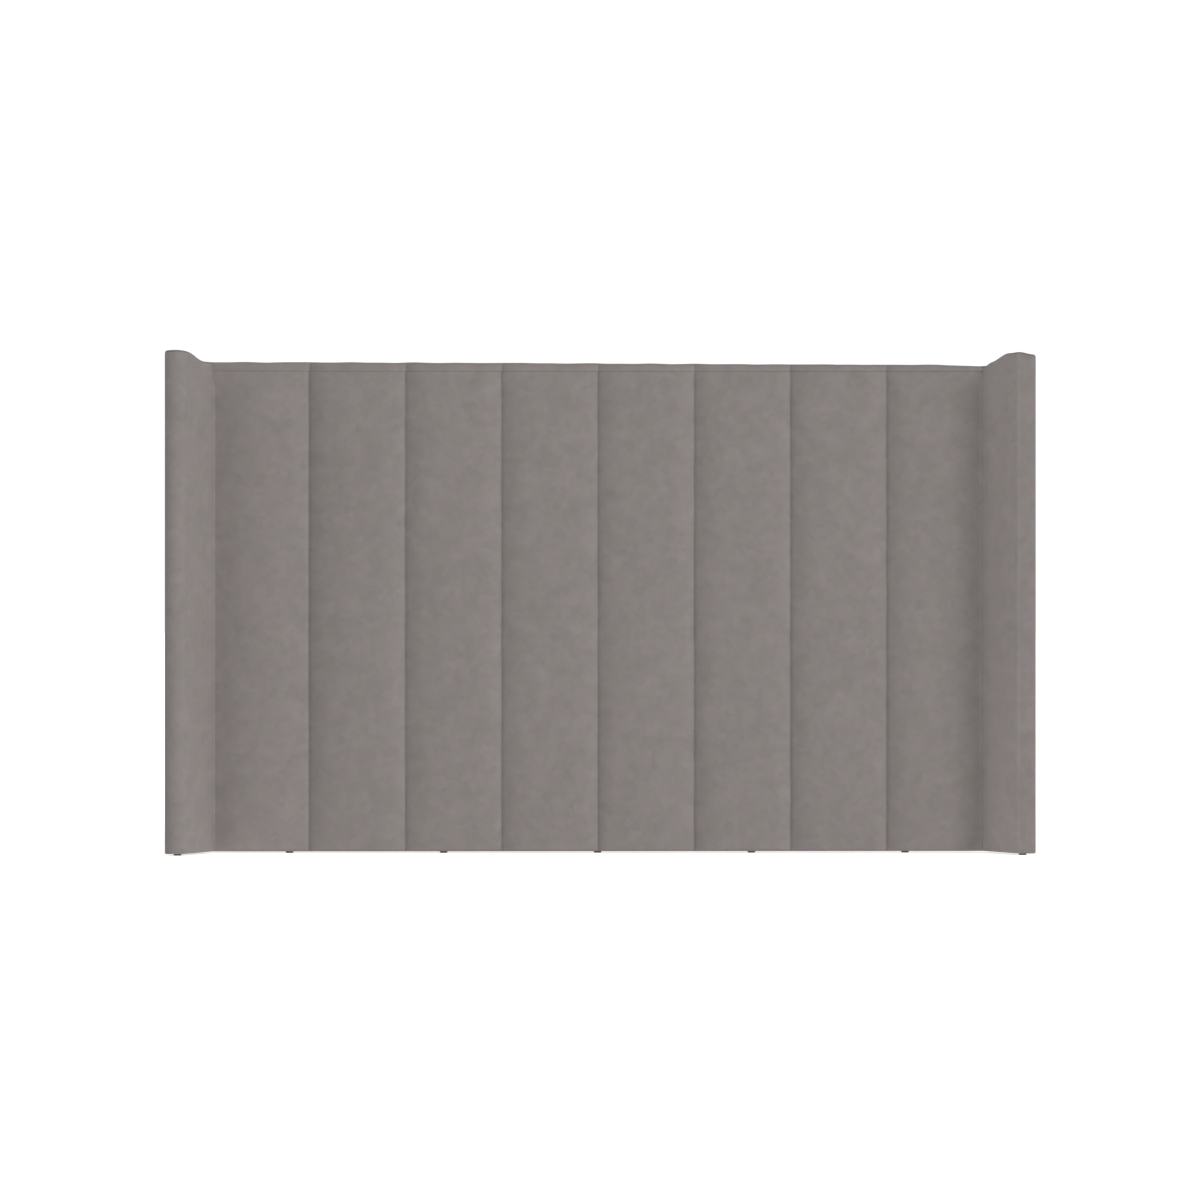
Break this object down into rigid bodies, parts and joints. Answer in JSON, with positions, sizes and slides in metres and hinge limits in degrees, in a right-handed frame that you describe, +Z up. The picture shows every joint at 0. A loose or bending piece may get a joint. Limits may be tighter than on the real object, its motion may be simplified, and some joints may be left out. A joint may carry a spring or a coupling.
{
  "type": "headboard",
  "caption": "Floor-standing upholstered headboard with upright padded channels, a slim top border and side wings that open outward and rise gently at the front.",
  "frame": {"origin": "on the floor, in the middle of the headboard's width and depth", "axes": "+X to the right as seen from the front, +Y from the padded front to the wall, +Z up"},
  "size_m": [2.0158, 0.3123, 1.168],
  "materials": {
    "plush_cloth": "short-pile plush with a soft sheen",
    "foam": "open-cell upholstery foam",
    "black_nonwoven": "spun-bonded, point-embossed",
    "planed_softwood": "planed, bare",
    "plywood": "sanded, bare",
    "hardboard": "smooth pressed face",
    "zinc_steel": "bright zinc plate",
    "staple_steel": "galvanised wire",
    "glide_plastic": "moulded, satin"
  },
  "bodies": {
    "root": {"back_cloth": "black_nonwoven", "back_staples": "staple_steel", "bottom_rail": "planed_softwood", "centre_lower_stud": "planed_softwood", "centre_upper_stud": "planed_softwood", "channel_cover_1": "plush_cloth", "channel_cover_2": "plush_cloth", "channel_cover_3": "plush_cloth", "channel_cover_4": "plush_cloth", "channel_cover_5": "plush_cloth", "channel_cover_6": "plush_cloth", "channel_cover_7": "plush_cloth", "channel_cover_8": "plush_cloth", "channel_pad_1": "foam", "channel_pad_2": "foam", "channel_pad_3": "foam", "channel_pad_4": "foam", "channel_pad_5": "foam", "channel_pad_6": "foam", "channel_pad_7": "foam", "channel_pad_8": "foam", "face_board": "hardboard", "frame_screws": "zinc_steel", "glides": "glide_plastic", "left_lower_corner_block": "plywood", "left_lower_stud": "planed_softwood", "left_stile": "planed_softwood", "left_upper_corner_block": "plywood", "left_upper_stud": "planed_softwood", "left_wing_batten": "planed_softwood", "left_wing_core": "plywood", "left_wing_cover": "plush_cloth", "left_wing_front_pad": "foam", "left_wing_inner_pad": "foam", "left_wing_outer_pad": "foam", "left_wing_top_border": "plush_cloth", "left_wing_top_pad": "foam", "middle_rail": "planed_softwood", "right_lower_corner_block": "plywood", "right_lower_stud": "planed_softwood", "right_stile": "planed_softwood", "right_upper_corner_block": "plywood", "right_upper_stud": "planed_softwood", "right_wing_batten": "planed_softwood", "right_wing_core": "plywood", "right_wing_cover": "plush_cloth", "right_wing_front_pad": "foam", "right_wing_inner_pad": "foam", "right_wing_outer_pad": "foam", "right_wing_top_border": "plush_cloth", "right_wing_top_pad": "foam", "strut_inserts": "zinc_steel", "top_border": "plush_cloth", "top_pad": "foam", "top_rail": "planed_softwood", "wing_bolts": "zinc_steel", "wing_tee_nuts": "zinc_steel", "wing_washers": "zinc_steel"}
  },
  "joints": []
}
